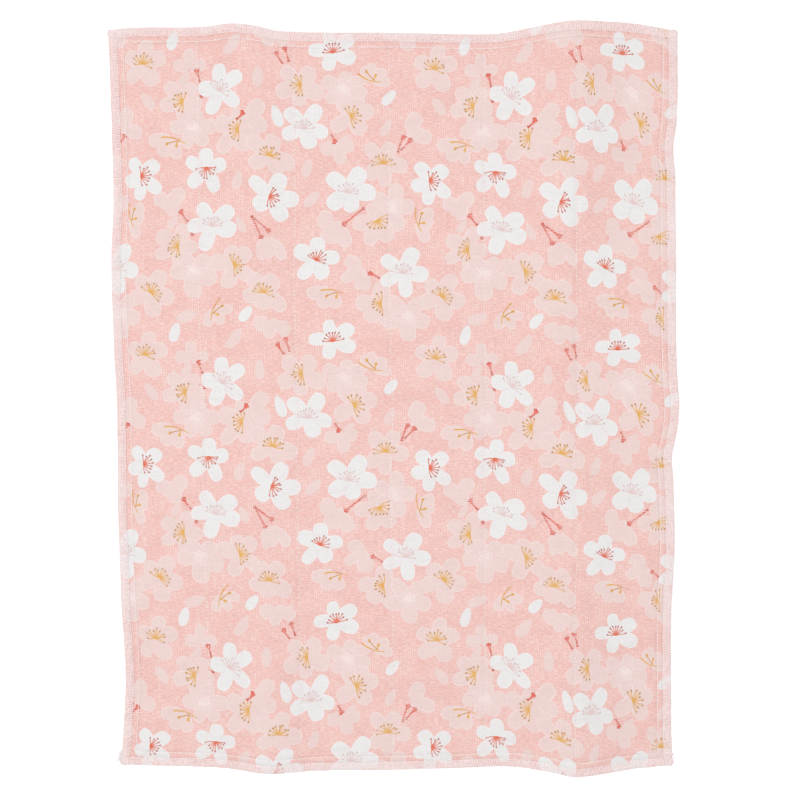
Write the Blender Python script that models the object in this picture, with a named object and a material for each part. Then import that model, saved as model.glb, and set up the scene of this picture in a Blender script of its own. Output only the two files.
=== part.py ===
# A kitchen towel of quilted gauze, laid out flat with the soft creases that storage folds left in it.
# The towel is one sheet: gauze layers quilted by five seams, with an overlocked edge all round.
# Run it with: blender --background --python part.py
# Metres, +Z up. The origin is on the table, under the middle of the towel; +Y is its upper end.

import math
from typing import NamedTuple

import bmesh
import bpy

MM = 0.001

# The cut cloth, and how thick its layers are together.
CLOTH_WIDTH = 300 * MM
CLOTH_LENGTH = 400 * MM
CLOTH_THICKNESS = 1.8 * MM

# Quilting seams run the length of the cloth, each in a shallow trough. Places are from its left edge.
QUILT_SEAMS = tuple(place * MM for place in (46, 97, 147.5, 198, 247))
TROUGH_REACH = 2.6 * MM
TROUGH_DEPTH = 0.5 * MM

# How fine the mesh is between the seams and along them.
LINES_BETWEEN_SEAMS = 3
LINE_SPACING = 10.6 * MM


class HemLine(NamedTuple):
    """A line of the edge's cross-section, in millimetres: how far in from the rim it runs, and how
    high the sheet's two faces are there, over a table that the cloth touches."""

    inset: float
    underside: float
    top: float


RIM = HemLine(0.0, 0.5, 1.3)
THREAD_EDGE = HemLine(0.9, 0.0, 2.0)
THREAD_BAND = HemLine(4.0, 0.0, 1.9)
NEEDLE_GROOVE = HemLine(4.9, 0.0, 1.3)
HEM_END = HemLine(8.0, 0.0, 1.8)
HEM_SECTION = (RIM, THREAD_EDGE, THREAD_BAND, NEEDLE_GROOVE, HEM_END)

# Corners of the towel as it lies, x and y in millimetres.
TOP_LEFT = (-150.0, 197.0)
TOP_RIGHT = (148.5, 196.5)
BOTTOM_LEFT = (-148.6, -196.0)
BOTTOM_RIGHT = (150.4, -196.6)

# How each edge wanders. A row is a place along the edge (its x or y) and how far the edge stands
# out there from the straight line between its corners, in millimetres.
TOP_EDGE = (
    (-150, 0.0), (-136, 1.3), (-100, 1.8), (-86, 3.4), (-73, 2.3), (-60, -0.4), (0, -1.0),
    (52, -1.6), (71, 1.6), (90, 4.8), (108, 4.8), (127, 3.7), (148.5, 0.0),
)
BOTTOM_EDGE = (
    (-148.6, 0.0), (-138, 0.8), (-103, 2.0), (-84, 3.0), (-68, 4.4), (-48, 3.9), (-10, 3.5),
    (30, 2.4), (60, 1.4), (86, 3.4), (98, 5.2), (122, 3.3), (150.4, 0.0),
)
LEFT_EDGE = (
    (-196, 0.0), (-180, -1.5), (-146, -3.3), (-112, -2.2), (-60, -0.7), (-28, -1.0), (4, -1.0),
    (23, -0.2), (72, 0.5), (106, -1.1), (143, -0.8), (197, 0.0),
)
RIGHT_EDGE = (
    (-196, 0.0), (-172, -0.5), (-113, -1.0), (-74, 0.4), (-41, -0.4), (-28, -1.6), (-15, 1.0),
    (-2, 1.9), (17, 1.1), (36, 0.5), (100, -0.5), (122, -0.7), (134, -1.9), (150, -0.4), (197, 0.0),
)


class Fold(NamedTuple):
    """A crease or wave that stands over the table like a soft tent, in millimetres: where its crest
    starts and ends, how far the crest bows sideways half way, how far the tent reaches to each side,
    and its height at the start, half way and at the end."""

    start: tuple
    end: tuple
    bow: float
    reach: float
    heights: tuple


FOLDS = {
    "right storage crease": Fold((95, 206), (97, -206), -4.5, 36, (8.0, 2.6, 9.0)),
    "left storage crease": Fold((-81, 206), (-68, -206), 0.0, 32, (6.0, 2.0, 7.0)),
    "middle crease": Fold((-104, -43), (156, -27), 0.0, 16, (0.0, 2.0, 3.0)),
    "right edge wave": Fold((158, -2), (108, -2), 0.0, 24, (5.0, 2.0, 0.0)),
    "right edge upper wave": Fold((158, 164), (108, 158), 0.0, 28, (4.0, 1.6, 0.0)),
    "right edge long wave": Fold((158, 78), (114, 78), 0.0, 44, (3.0, 1.0, 0.0)),
    "right edge lower wave": Fold((158, -86), (114, -82), 0.0, 38, (3.4, 1.2, 0.0)),
    "left edge upper wave": Fold((-156, 84), (-112, 80), 0.0, 46, (3.0, 1.0, 0.0)),
    "left edge lower wave": Fold((-154, -108), (-106, -102), 0.0, 44, (3.4, 1.2, 0.0)),
    "upper left corner curl": Fold((-158, 204), (-124, 172), 0.0, 22, (3.2, 1.2, 0.0)),
    "lower left corner curl": Fold((-156, -204), (-122, -172), 0.0, 22, (3.0, 1.0, 0.0)),
    "lower right corner curl": Fold((158, -204), (126, -172), 0.0, 22, (3.6, 1.3, 0.0)),
}
CREST_ROUNDING = 0.12  # share of a tent's reach over which its crest is rounded off

CLOTH_COLOR = (0.88, 0.60, 0.56, 1.0)
CLOTH_ROUGHNESS = 0.95


def clear_scene():
    for thing in list(bpy.data.objects):
        bpy.data.objects.remove(thing, do_unlink=True)


def mixed(a, b, share):
    return a + (b - a) * share


def smooth(share):
    return share * share * (3 - 2 * share)


def edge_out(edge, at):
    """How far an edge stands out at a place along it, on a smooth curve through its rows."""
    if at <= edge[0][0]:
        return edge[0][1]
    if at >= edge[-1][0]:
        return edge[-1][1]
    k = max(i for i, row in enumerate(edge) if row[0] <= at)

    def slope(i):
        low, high = edge[max(i - 1, 0)], edge[min(i + 1, len(edge) - 1)]
        return (high[1] - low[1]) / (high[0] - low[0])

    (start, out), (end, next_out) = edge[k], edge[k + 1]
    t = (at - start) / (end - start)
    pull = slope(k) * t * (1 - t) ** 2 - slope(k + 1) * t * t * (1 - t)
    return mixed(out, next_out, smooth(t)) + (end - start) * pull


def laid_out(across, along):
    """Where a point of the flat cloth lies on the table, in mm. Across and along run from 0 to 1."""
    top_x = mixed(TOP_LEFT[0], TOP_RIGHT[0], across)
    bottom_x = mixed(BOTTOM_LEFT[0], BOTTOM_RIGHT[0], across)
    left_y = mixed(BOTTOM_LEFT[1], TOP_LEFT[1], along)
    right_y = mixed(BOTTOM_RIGHT[1], TOP_RIGHT[1], along)
    x = mixed(bottom_x, top_x, along)
    y = mixed(left_y, right_y, across)
    x += mixed(-edge_out(LEFT_EDGE, left_y), edge_out(RIGHT_EDGE, right_y), across)
    y += mixed(-edge_out(BOTTOM_EDGE, bottom_x), edge_out(TOP_EDGE, top_x), along)
    return x, y


def tent(away):
    """Height of a soft tent, from nearly 1 on its crest to 0 at its foot, where away is 1."""
    if away >= 1:
        return 0.0
    slope = math.hypot(away, CREST_ROUNDING) / math.hypot(1, CREST_ROUNDING)
    return (1 - slope) ** 2 * (1 + slope)


def fold_height(fold, x, y):
    """How far one fold lifts the cloth at x, y, all in mm."""
    run_x, run_y = fold.end[0] - fold.start[0], fold.end[1] - fold.start[1]
    length = math.hypot(run_x, run_y)
    from_x, from_y = x - fold.start[0], y - fold.start[1]
    share = (from_x * run_x + from_y * run_y) / length**2
    if not 0 <= share <= 1:
        return 0.0
    sideways = (from_y * run_x - from_x * run_y) / length - fold.bow * 4 * share * (1 - share)
    first, middle, last = fold.heights
    if share < 0.5:
        height = mixed(first, middle, smooth(share * 2))
    else:
        height = mixed(middle, last, smooth(share * 2 - 1))
    return height * tent(abs(sideways) / fold.reach)


def lift(x, y):
    """How high the cloth's underside is over the table at x, y, all in mm."""
    return sum(fold_height(fold, x, y) for fold in FOLDS.values())


def evenly(low, high, count):
    """Count places between low and high, without the two themselves."""
    return [mixed(low, high, (i + 1) / (count + 1)) for i in range(count)]


def hem_places(size):
    """The hem's lines at the two ends of a cloth of this size: those at its start, those at its end."""
    insets = [line.inset * MM for line in HEM_SECTION]
    return insets, [size - inset for inset in reversed(insets)]


def lines_across():
    """Where the mesh has lines that run along the cloth: in the hems, at each seam and between them."""
    left, right = hem_places(CLOTH_WIDTH)
    inner = [left[-1]]
    for seam in QUILT_SEAMS:
        inner += evenly(inner[-1], seam - TROUGH_REACH, LINES_BETWEEN_SEAMS)
        inner += [seam - TROUGH_REACH, seam, seam + TROUGH_REACH]
    inner += evenly(inner[-1], right[0], LINES_BETWEEN_SEAMS)
    return left[:-1] + inner + right


def lines_along():
    """Where the mesh has lines that run across the cloth: in the hems and between them."""
    bottom, top = hem_places(CLOTH_LENGTH)
    count = round((top[0] - bottom[-1]) / LINE_SPACING) - 1
    return bottom + evenly(bottom[-1], top[0], count) + top


def hem_faces(inset):
    """Heights of the sheet's underside and top, in mm, at a distance in from the rim."""
    if inset >= HEM_END.inset:
        return HEM_END.underside, HEM_END.top
    outer, inner = next(pair for pair in zip(HEM_SECTION, HEM_SECTION[1:]) if inset < pair[1].inset)
    share = (inset - outer.inset) / (inner.inset - outer.inset)
    return mixed(outer.underside, inner.underside, share), mixed(outer.top, inner.top, share)


def sheet_faces(across, along):
    """Heights of the sheet's underside and top, in mm, where the cloth touches the table."""
    inset = min(across, CLOTH_WIDTH - across, along, CLOTH_LENGTH - along)
    underside, top = hem_faces(inset / MM)
    from_seam = min(abs(across - seam) for seam in QUILT_SEAMS)
    if inset / MM >= HEM_END.inset and from_seam < TROUGH_REACH:
        top -= TROUGH_DEPTH / MM * (1 - from_seam / TROUGH_REACH)
    return underside, top


def flat_grid(columns, rows):
    """A grid of faces in the flat cloth's own coordinates, with a line at each column and row."""
    shape = bmesh.new()
    bmesh.ops.create_grid(shape, x_segments=len(columns) - 1, y_segments=len(rows) - 1, size=1)
    for vertex in shape.verts:
        column = round((vertex.co.x + 1) / 2 * (len(columns) - 1))
        row = round((vertex.co.y + 1) / 2 * (len(rows) - 1))
        vertex.co = (columns[column], rows[row], 0)
    return shape


def lay_down(vertex, is_top):
    """Moves a vertex of the flat cloth to where it lies."""
    across, along = vertex.co.x, vertex.co.y
    x, y = laid_out(across / CLOTH_WIDTH, along / CLOTH_LENGTH)
    underside, top = sheet_faces(across, along)
    height = lift(x, y) + (top if is_top else underside)
    vertex.co = (x * MM, y * MM, height * MM)


def towel_shape():
    """The whole sheet: a grid for its underside, one for its top, and the rim that joins them."""
    shape = flat_grid(lines_across(), lines_along())
    under = list(shape.verts)
    extruded = bmesh.ops.extrude_face_region(shape, geom=list(shape.faces), use_keep_orig=True)
    over = [item for item in extruded["geom"] if isinstance(item, bmesh.types.BMVert)]
    for vertex in under:
        lay_down(vertex, is_top=False)
    for vertex in over:
        lay_down(vertex, is_top=True)
    bmesh.ops.recalc_face_normals(shape, faces=list(shape.faces))
    return shape


def centre_on_origin(shape):
    """Puts the middle of the towel's box over the origin, and its lowest faces on the table."""
    low = [min(vertex.co[axis] for vertex in shape.verts) for axis in range(3)]
    high = [max(vertex.co[axis] for vertex in shape.verts) for axis in range(3)]
    back = (-(low[0] + high[0]) / 2, -(low[1] + high[1]) / 2, -low[2])
    bmesh.ops.translate(shape, vec=back, verts=list(shape.verts))


def cloth_material():
    material = bpy.data.materials.new("printed_gauze")
    material.use_nodes = True
    shader = material.node_tree.nodes["Principled BSDF"]
    shader.inputs["Base Color"].default_value = CLOTH_COLOR
    shader.inputs["Roughness"].default_value = CLOTH_ROUGHNESS
    shader.inputs["Metallic"].default_value = 0.0
    return material


def make_towel():
    shape = towel_shape()
    centre_on_origin(shape)
    mesh = bpy.data.meshes.new("towel_cloth")
    shape.to_mesh(mesh)
    shape.free()
    mesh.shade_smooth()
    mesh.set_sharp_from_angle(angle=math.radians(40))
    mesh.materials.append(cloth_material())
    towel = bpy.data.objects.new("towel_cloth", mesh)
    bpy.context.scene.collection.objects.link(towel)


def main():
    clear_scene()
    make_towel()


main()
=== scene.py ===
# A quilted gauze kitchen towel with a cherry blossom print, laid out flat on a pale table.
# The sheet, its overlocked edge, its seams and its loose fibres are modelled here; the print and
# the weave are in its material.

import math
import random

import bmesh
import bpy
import numpy as np
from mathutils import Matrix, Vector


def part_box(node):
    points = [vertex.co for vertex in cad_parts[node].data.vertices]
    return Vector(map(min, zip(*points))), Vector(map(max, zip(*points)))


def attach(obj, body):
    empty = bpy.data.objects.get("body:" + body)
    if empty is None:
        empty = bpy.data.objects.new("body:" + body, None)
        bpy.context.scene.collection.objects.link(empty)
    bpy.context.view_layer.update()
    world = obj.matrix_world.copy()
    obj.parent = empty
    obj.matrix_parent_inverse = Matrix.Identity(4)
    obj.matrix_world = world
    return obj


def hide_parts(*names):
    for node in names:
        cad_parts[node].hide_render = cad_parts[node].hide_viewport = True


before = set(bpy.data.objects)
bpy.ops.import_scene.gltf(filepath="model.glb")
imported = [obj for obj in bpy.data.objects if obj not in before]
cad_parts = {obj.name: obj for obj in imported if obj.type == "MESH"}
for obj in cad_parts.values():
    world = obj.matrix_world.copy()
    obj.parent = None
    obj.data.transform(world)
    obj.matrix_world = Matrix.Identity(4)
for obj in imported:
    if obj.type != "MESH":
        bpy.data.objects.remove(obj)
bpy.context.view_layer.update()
mm = 0.001

print("towel: how the cloth lies")

cloth = {
    "width": 300,                          # mm, as cut
    "length": 400,
    "thickness": 1.8,                      # its gauze layers together
    "seams": (46, 97, 147.5, 198, 247),    # quilting, mm from the left edge
    "troughReach": 2.6,
    "troughDepth": 0.5,
    "troughFrom": 8,                       # the troughs start this far in
    "topLeft": (-150.0, 197.0),            # corners as it lies, mm
    "topRight": (148.5, 196.5),
    "bottomLeft": (-148.6, -196.0),
    "bottomRight": (150.4, -196.6),
}

# how each edge wanders: a place along it, and how far it stands out there, mm
edges = {
    "top": (
        (-150, 0.0), (-136, 1.3), (-100, 1.8), (-86, 3.4), (-73, 2.3), (-60, -0.4), (0, -1.0),
        (52, -1.6), (71, 1.6), (90, 4.8), (108, 4.8), (127, 3.7), (148.5, 0.0),
    ),
    "bottom": (
        (-148.6, 0.0), (-138, 0.8), (-103, 2.0), (-84, 3.0), (-68, 4.4), (-48, 3.9), (-10, 3.5),
        (30, 2.4), (60, 1.4), (86, 3.4), (98, 5.2), (122, 3.3), (150.4, 0.0),
    ),
    "left": (
        (-196, 0.0), (-180, -1.5), (-146, -3.3), (-112, -2.2), (-60, -0.7), (-28, -1.0), (4, -1.0),
        (23, -0.2), (72, 0.5), (106, -1.1), (143, -0.8), (197, 0.0),
    ),
    "right": (
        (-196, 0.0), (-172, -0.5), (-113, -1.0), (-74, 0.4), (-41, -0.4), (-28, -1.6), (-15, 1.0),
        (-2, 1.9), (17, 1.1), (36, 0.5), (100, -0.5), (122, -0.7), (134, -1.9), (150, -0.4), (197, 0.0),
    ),
}

# creases and waves as soft tents: crest from, crest to, sideways bow, reach, heights along it, mm
folds = {
    "right storage crease": ((95, 206), (97, -206), -4.5, 36, (8.0, 2.6, 9.0)),
    "left storage crease": ((-81, 206), (-68, -206), 0.0, 32, (6.0, 2.0, 7.0)),
    "middle crease": ((-104, -43), (156, -27), 0.0, 16, (0.0, 2.0, 3.0)),
    "right edge wave": ((158, -2), (108, -2), 0.0, 24, (5.0, 2.0, 0.0)),
    "right edge upper wave": ((158, 164), (108, 158), 0.0, 28, (4.0, 1.6, 0.0)),
    "right edge long wave": ((158, 78), (114, 78), 0.0, 44, (3.0, 1.0, 0.0)),
    "right edge lower wave": ((158, -86), (114, -82), 0.0, 38, (3.4, 1.2, 0.0)),
    "left edge upper wave": ((-156, 84), (-112, 80), 0.0, 46, (3.0, 1.0, 0.0)),
    "left edge lower wave": ((-154, -108), (-106, -102), 0.0, 44, (3.4, 1.2, 0.0)),
    "upper left corner curl": ((-158, 204), (-124, 172), 0.0, 22, (3.2, 1.2, 0.0)),
    "lower left corner curl": ((-156, -204), (-122, -172), 0.0, 22, (3.0, 1.0, 0.0)),
    "lower right corner curl": ((158, -204), (126, -172), 0.0, 22, (3.6, 1.3, 0.0)),
}
crestRounding = 0.12                       # share of a tent's reach

# the overlocked edge from its rim inwards: inset, underside, top, mm
hem = (
    (0.0, 0.60, 1.20),
    (0.3, 0.36, 1.60),
    (0.9, 0.20, 1.90),
    (2.2, 0.16, 1.95),
    (3.6, 0.16, 1.90),
    (4.4, 0.12, 1.55),
    (4.8, 0.10, 1.30),                     # the needle seam pulls it in
    (5.3, 0.06, 1.50),
    (6.4, 0.00, 1.75),
    (7.6, 0.00, 1.72),
    (8.1, 0.00, 1.50),                     # second seam
    (8.6, 0.00, 1.72),
    (10.0, 0.00, 1.80),
)


def smooth(share):
    return share * share * (3 - 2 * share)


def mixed(a, b, share):
    return a + (b - a) * share


def edgeOut(rows, at):
    places = np.array([row[0] for row in rows], float)
    outs = np.array([row[1] for row in rows], float)
    slopes = np.empty(len(rows))
    slopes[1:-1] = (outs[2:] - outs[:-2]) / (places[2:] - places[:-2])
    slopes[0] = (outs[1] - outs[0]) / (places[1] - places[0])
    slopes[-1] = (outs[-1] - outs[-2]) / (places[-1] - places[-2])
    at = np.clip(at, places[0], places[-1])
    k = np.clip(np.searchsorted(places, at, side="right") - 1, 0, len(rows) - 2)
    span = places[k + 1] - places[k]
    t = (at - places[k]) / span
    pull = slopes[k] * t * (1 - t) ** 2 - slopes[k + 1] * t * t * (1 - t)
    return mixed(outs[k], outs[k + 1], smooth(t)) + span * pull


def laidOut(across, along):                # cloth mm -> where it lies, mm
    across = across / cloth["width"]
    along = along / cloth["length"]
    topX = mixed(cloth["topLeft"][0], cloth["topRight"][0], across)
    bottomX = mixed(cloth["bottomLeft"][0], cloth["bottomRight"][0], across)
    leftY = mixed(cloth["bottomLeft"][1], cloth["topLeft"][1], along)
    rightY = mixed(cloth["bottomRight"][1], cloth["topRight"][1], along)
    x = mixed(bottomX, topX, along)
    y = mixed(leftY, rightY, across)
    x = x + mixed(-edgeOut(edges["left"], leftY), edgeOut(edges["right"], rightY), across)
    y = y + mixed(-edgeOut(edges["bottom"], bottomX), edgeOut(edges["top"], topX), along)
    return x, y


def tent(away):                            # 1 on the crest, 0 at the foot
    slope = np.hypot(away, crestRounding) / math.hypot(1, crestRounding)
    return np.where(away < 1, (1 - slope) ** 2 * (1 + slope), 0.0)


def lift(x, y):                            # height of the cloth over the table, mm
    total = np.zeros_like(x)
    for start, end, bow, reach, heights in folds.values():
        runX, runY = end[0] - start[0], end[1] - start[1]
        run = math.hypot(runX, runY)
        share = ((x - start[0]) * runX + (y - start[1]) * runY) / run**2
        inside = (share >= 0) & (share <= 1)
        share = np.clip(share, 0, 1)
        sideways = ((y - start[1]) * runX - (x - start[0]) * runY) / run - bow * 4 * share * (1 - share)
        first = mixed(heights[0], heights[1], smooth(np.clip(share * 2, 0, 1)))
        height = mixed(first, heights[2], smooth(np.clip(share * 2 - 1, 0, 1)))
        total += np.where(inside, height * tent(np.abs(sideways) / reach), 0.0)
    return total


relief = {
    "broadSize": 62, "broadHeight": 0.34,          # slack swells between the creases, mm
    "crinkleSize": 7.5, "crinkleHeight": 0.075,    # crimped gauze
    "crinkleStretch": 0.6, "seamStretch": 0.4,     # below 1, the swells are longer across
    "seamSize": 6.0, "seamHeight": 0.17, "seamReach": 4.5,
    "hemSize": 11.0, "hemHeight": 0.42, "hemReach": 9.0, "hemRaised": 0.5,
    "seeds": {"broad": 3, "crinkle": 5, "seams": 20, "hem": 40},
}


def waves(x, y, size, seed, count=7):      # an uneven rolling surface, about -1 to 1
    draw = random.Random(seed)
    total = np.zeros_like(x)
    for _ in range(count):
        angle = draw.uniform(0, math.pi)
        rate = 2 * math.pi / (size * draw.uniform(0.7, 1.5))
        total += np.sin(rate * (x * math.cos(angle) + y * math.sin(angle)) + draw.uniform(0, 6.28))
    return total / math.sqrt(count * 2)


def fineRelief(across, along):             # slack and puckers that the solid leaves out, mm
    inset = insetOf(across, along)
    seeds = relief["seeds"]
    total = relief["broadHeight"] * (1 + waves(across, along, relief["broadSize"], seeds["broad"]))
    stretched = across * relief["crinkleStretch"]
    total += relief["crinkleHeight"] * waves(stretched, along, relief["crinkleSize"], seeds["crinkle"])
    stretched = across * relief["seamStretch"]
    for number, seam in enumerate(cloth["seams"]):
        near = np.exp(-((across - seam) / relief["seamReach"]) ** 2)
        puckers = waves(stretched, along, relief["seamSize"], seeds["seams"] + number)
        total += near * relief["seamHeight"] * puckers
    near = np.exp(-((np.maximum(inset, 0) / relief["hemReach"]) ** 2))
    swells = waves(across, along, relief["hemSize"], seeds["hem"])
    total += near * relief["hemHeight"] * (relief["hemRaised"] + swells)
    return np.maximum(total, 0)


def insetOf(across, along):                # mm in from the nearest edge
    fromSides = np.minimum(across, cloth["width"] - across)
    fromEnds = np.minimum(along, cloth["length"] - along)
    return np.minimum(fromSides, fromEnds)


def sheetFaces(across, along):             # underside and top of the sheet where it touches the table, mm
    inset = insetOf(across, along)
    insets = [row[0] for row in hem]
    underside = np.interp(inset, insets, [row[1] for row in hem])
    top = np.interp(inset, insets, [row[2] for row in hem])
    for seam in cloth["seams"]:
        near = np.clip(1 - np.abs(across - seam) / cloth["troughReach"], 0, 1)
        top = top - np.where(inset > cloth["troughFrom"], cloth["troughDepth"] * smooth(near), 0.0)
    return underside, top


outlineSteps = 1200                        # places looked at along each edge


def boxCentre():                           # middle of the outline, before it is centred, mm
    run = np.linspace(0, 1, outlineSteps)
    none = np.zeros_like(run)
    sides = [(run, none), (run, none + 1), (none, run), (none + 1, run)]
    spots = [laidOut(a * cloth["width"], b * cloth["length"]) for a, b in sides]
    x = np.concatenate([spot[0] for spot in spots])
    y = np.concatenate([spot[1] for spot in spots])
    return (x.min() + x.max()) / 2, (y.min() + y.max()) / 2


solidLow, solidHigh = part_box("towel_cloth")
ownCentre = boxCentre()
shiftX = (solidLow.x + solidHigh.x) / 2 / mm - ownCentre[0]
shiftY = (solidLow.y + solidHigh.y) / 2 / mm - ownCentre[1]


overlockRoom = 0.35                        # mm that the overlock's threads stand out past the cloth


def placed(points):                        # rows of across, along, height over the table -> metres
    across, along, up = points[:, 0], points[:, 1], points[:, 2]
    middleX, middleY = cloth["width"] / 2, cloth["length"] / 2
    x, y = laidOut(
        middleX + (across - middleX) * (1 - overlockRoom / middleX),
        middleY + (along - middleY) * (1 - overlockRoom / middleY),
    )
    z = lift(x, y) + fineRelief(across, along) + up
    return np.column_stack(((x + shiftX) * mm, (y + shiftY) * mm, z * mm))


def newPiece(name, mesh, *materials):
    for material in materials:
        mesh.materials.append(material)
    piece = bpy.data.objects.new(name, mesh)
    bpy.context.scene.collection.objects.link(piece)
    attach(piece, "root")
    return piece


def meshFrom(shape, name):
    mesh = bpy.data.meshes.new(name)
    shape.to_mesh(mesh)
    shape.free()
    mesh.shade_smooth()
    return mesh


print("towel: shader tools")


def colour(red, green, blue):              # 0 to 255 as seen -> the shader's own scale
    def straight(part):
        part = part / 255
        return part / 12.92 if part <= 0.04045 else ((part + 0.055) / 1.055) ** 2.4
    return (straight(red), straight(green), straight(blue), 1.0)


class Wire:                                # a shader value, so that a sum of wires reads as a sum

    def __init__(self, tree, socket):
        self.tree = tree
        self.socket = socket

    def math(self, operation, *others):
        node = self.tree.nodes.new("ShaderNodeMath")
        node.operation = operation
        for socket, term in zip(node.inputs, (self, *others)):
            plug(self.tree, socket, term)
        return Wire(self.tree, node.outputs[0])

    def __add__(self, other):
        return self.math("ADD", other)

    def __sub__(self, other):
        return self.math("SUBTRACT", other)

    def __mul__(self, other):
        return self.math("MULTIPLY", other)

    def __truediv__(self, other):
        return self.math("DIVIDE", other)

    def within(self, low, high):           # 0 at low, 1 at high, smooth between
        node = self.tree.nodes.new("ShaderNodeMapRange")
        node.interpolation_type = "SMOOTHSTEP"
        plug(self.tree, node.inputs["Value"], self)
        plug(self.tree, node.inputs["From Min"], low)
        plug(self.tree, node.inputs["From Max"], high)
        return Wire(self.tree, node.outputs["Result"])


def plug(tree, socket, term):
    if isinstance(term, Wire):
        tree.links.new(term.socket, socket)
    else:
        socket.default_value = term


def makeGroup(name, inputs, outputs):
    tree = bpy.data.node_groups.new(name, "ShaderNodeTree")
    for label, kind in inputs.items():
        tree.interface.new_socket(label, in_out="INPUT", socket_type=kind)
    for label, kind in outputs.items():
        tree.interface.new_socket(label, in_out="OUTPUT", socket_type=kind)
    given = tree.nodes.new("NodeGroupInput")
    wires = {label: Wire(tree, given.outputs[label]) for label in inputs}
    return tree, wires, tree.nodes.new("NodeGroupOutput")


def floats(*labels):
    return {label: "NodeSocketFloat" for label in labels}


def vectors(*labels):
    return {label: "NodeSocketVector" for label in labels}


def give(tree, result, **wires):           # what a group hands back
    for label, wire in wires.items():
        tree.links.new(wire.socket, result.inputs[label])


def useGroup(tree, group, **inputs):
    node = tree.nodes.new("ShaderNodeGroup")
    node.node_tree = group
    for label, term in inputs.items():
        plug(tree, node.inputs[label], term)
    return {socket.name: Wire(tree, socket) for socket in node.outputs}


def apart(tree, term):                     # the three parts of a vector
    node = tree.nodes.new("ShaderNodeSeparateXYZ")
    plug(tree, node.inputs[0], term)
    return [Wire(tree, socket) for socket in node.outputs]


def together(tree, *terms):
    node = tree.nodes.new("ShaderNodeCombineXYZ")
    for socket, term in zip(node.inputs, terms):
        plug(tree, socket, term)
    return Wire(tree, node.outputs[0])


def chance(tree, a, b):                    # three chance numbers for each pair of whole ones
    node = tree.nodes.new("ShaderNodeTexWhiteNoise")
    node.noise_dimensions = "2D"
    plug(tree, node.inputs["Vector"], together(tree, a, b))
    return apart(tree, Wire(tree, node.outputs["Color"]))


def constant(tree, value):
    node = tree.nodes.new("ShaderNodeValue")
    node.outputs[0].default_value = value
    return Wire(tree, node.outputs[0])


def cloud(tree, x, y, detail=1.0):         # smooth noise over two lengths, about 0.3 to 0.7
    node = tree.nodes.new("ShaderNodeTexNoise")
    node.noise_dimensions = "2D"
    plug(tree, node.inputs["Vector"], together(tree, x, y))
    node.inputs["Scale"].default_value = 1.0
    node.inputs["Detail"].default_value = detail
    return Wire(tree, node.outputs[0])


def attribute(tree, name):
    node = tree.nodes.new("ShaderNodeAttribute")
    node.attribute_name = name
    return node


def blend(tree, share, under, over, way="MIX"):
    node = tree.nodes.new("ShaderNodeMix")
    node.data_type = "RGBA"
    node.blend_type = way
    plug(tree, node.inputs[0], share)
    plug(tree, node.inputs[6], under)
    plug(tree, node.inputs[7], over)
    return Wire(tree, node.outputs[2])


print("towel: printed motifs")

# One repeat of the print. Places are mm on the cloth before it was sewn, from its lower left
# corner, sizes are mm, turns are degrees.
repeat = {
    "across": 154,
    "along": 155,
    "aside": (                             # how far right it sits at a place across the cloth, mm
        (0, 0.0), (205, 0.2), (225, 0.4), (240, 0.9), (258, -0.2), (275, -1.5), (300, -1.0),
    ),
    "dip": (                               # how far down it sits there
        (0, 0.0), (170, -0.4), (203, -0.8), (215, 1.5), (241, 5.6), (260, 7.0), (280, 9.5), (300, 10.5),
    ),
    "drawn": (                             # x, y, reach across and along, how far right and down, mm
        (273, 370, 40, 34, 0.0, -3.2),     # there the cloth is drawn out of the even repeat
        (276, 210, 38, 34, -1.6, -3.4),
        (270, 74, 40, 40, -1.0, -3.8),
        (126, 84, 34, 40, -1.2, -3.2),
        (118, 231, 40, 30, -1.2, -1.6),
        (260, 338, 32, 20, 2.6, 0.0),
        (250, 215, 26, 24, -2.6, 0.0),
        (257, 178, 34, 18, 2.2, 0.0),
        (62, 22, 60, 22, 0.8, 2.2),
        (20, 202, 60, 70, -1.2, 0.0),
    ),
    "tucks": {"left": 1.8, "right": 3.0},  # cloth that the side hems take up
    "tuckFrom": 6,
    "tuckTo": 16,
    "past": 20,                            # motifs are kept this far outside the cloth
    "pastTop": 28,
}

inks = {                                   # code, line, tip
    "none": (0.0, colour(226, 176, 76), colour(226, 176, 76)),
    "gold": (0.2, colour(230, 178, 88), colour(178, 132, 76)),
    "white": (0.4, colour(247, 233, 231), colour(233, 200, 198)),
    "red": (0.6, colour(227, 112, 82), colour(172, 98, 92)),
    "faint": (0.8, colour(230, 208, 206), colour(216, 188, 186)),
}

# x, y, way the stamens face, ink, then the way and length of each petal
whiteBlossoms = (
    (117.9, 390.2, 95, "red", (-27, 13.3), (38, 13.9), (106, 11.7), (176, 13.3), (254, 11.2)),
    (15.6, 321.8, 0, "red", (-45, 13.3), (45, 11.7), (127, 12.3), (202, 11.7), (257, 13.9)),
    (50.1, 325.2, 270, "red", (-66, 13.9), (12, 11.2), (87, 11.7), (158, 12.8), (220, 13.9)),
    (84.3, 312.1, -20, "red", (-63, 14.7), (-3, 15.4), (67, 14.8), (144, 14.6), (217, 12.3)),
    (109.2, 280.0, 70, "red", (-67, 12.3), (8, 12.8), (90, 12.3), (155, 13.9), (229, 14.9)),
    (58.0, 366.5, 60, "faint", (-43, 13.9), (33, 14.9), (92, 13.9), (172, 12.3), (247, 14.4)),
    (102.2, 350.0, 90, "faint", (-72, 12.8), (-13, 13.9), (53, 14.9), (133, 13.9), (205, 13.3)),
    (124.8, 316.2, 80, "faint", (-73, 12.3), (-3, 16.0), (53, 15.5), (135, 13.9), (222, 13.9)),
    (53.3, 295.9, 80, "faint", (-24, 13.9), (38, 13.9), (126, 13.9), (180, 13.9), (252, 15.5)),
    (0.9, 273.0, 85, "faint", (-79, 14.9), (-7, 14.4), (65, 14.9), (146, 14.4), (211, 13.9)),
)
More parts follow.
